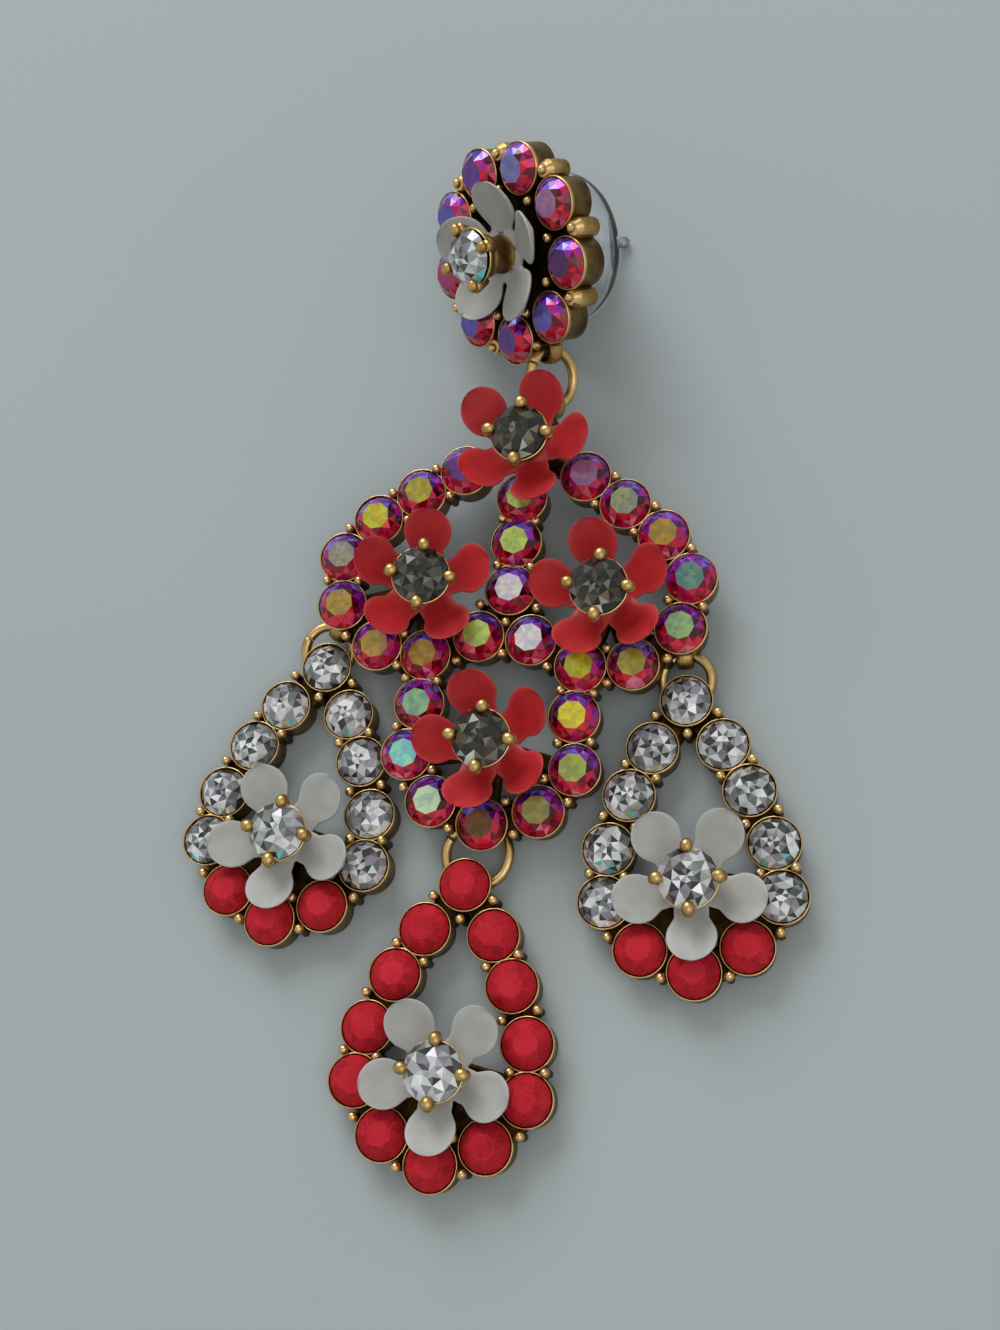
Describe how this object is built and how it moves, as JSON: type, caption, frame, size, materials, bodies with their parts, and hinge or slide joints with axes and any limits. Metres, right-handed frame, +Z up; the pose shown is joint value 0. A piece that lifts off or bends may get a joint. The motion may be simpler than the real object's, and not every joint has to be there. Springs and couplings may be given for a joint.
{
  "type": "chandelier stud earring",
  "caption": "Antique-brass chandelier earring with a stone-set stud, coral enamel flowers and teardrops on jump rings, lying face up.",
  "frame": {"origin": "on the surface that the earring lies on, under the middle of its box", "axes": "+Z up off that surface, +Y from the drops towards the stud, +X to the right as it lies face up"},
  "size_m": [0.0464, 0.0764, 0.0152],
  "materials": {
    "antique_brass": "cast and plated antique brass, bright on the rims and dark brown in the recesses",
    "steel": "plain bright steel",
    "clear_plastic": "clear soft plastic",
    "coral_enamel": "satin coral-red enamel over stamped metal",
    "ivory_enamel": "satin ivory enamel over stamped metal",
    "smoky_glass": "faceted smoky grey-green glass, foiled",
    "clear_glass": "faceted clear glass, foiled",
    "red_glass": "faceted deep red glass with a rainbow coating",
    "coral_stone": "faceted stones with a matte coral-red coating"
  },
  "bodies": {
    "earring": {"main_frame": "antique_brass", "drop_left": "antique_brass", "drop_right": "antique_brass", "drop_bottom": "antique_brass", "stud_base": "antique_brass", "jump_ring_left": "antique_brass", "jump_ring_right": "antique_brass", "jump_ring_bottom": "antique_brass", "link_ring_stud": "antique_brass", "petals_apex": "coral_enamel", "setting_apex": "antique_brass", "stone_apex": "smoky_glass", "petals_left": "coral_enamel", "setting_left": "antique_brass", "stone_left": "smoky_glass", "petals_right": "coral_enamel", "setting_right": "antique_brass", "stone_right": "smoky_glass", "petals_lower": "coral_enamel", "setting_lower": "antique_brass", "stone_lower": "smoky_glass", "petals_drop_left": "ivory_enamel", "setting_drop_left": "antique_brass", "stone_drop_left": "clear_glass", "petals_drop_right": "ivory_enamel", "setting_drop_right": "antique_brass", "stone_drop_right": "clear_glass", "petals_drop_bottom": "ivory_enamel", "setting_drop_bottom": "antique_brass", "stone_drop_bottom": "clear_glass", "petals_stud": "ivory_enamel", "setting_stud": "antique_brass", "stone_stud": "clear_glass"},
    "clutch": {"clutch_disc": "clear_plastic", "clutch_barrel": "steel"}
  },
  "joints": [
    {"name": "clutch_slide", "type": "slide", "parent": "earring", "child": "clutch", "axis": [0.5787, 0.4472, -0.682], "range_m": [-0.0028, 0.007]}
  ]
}
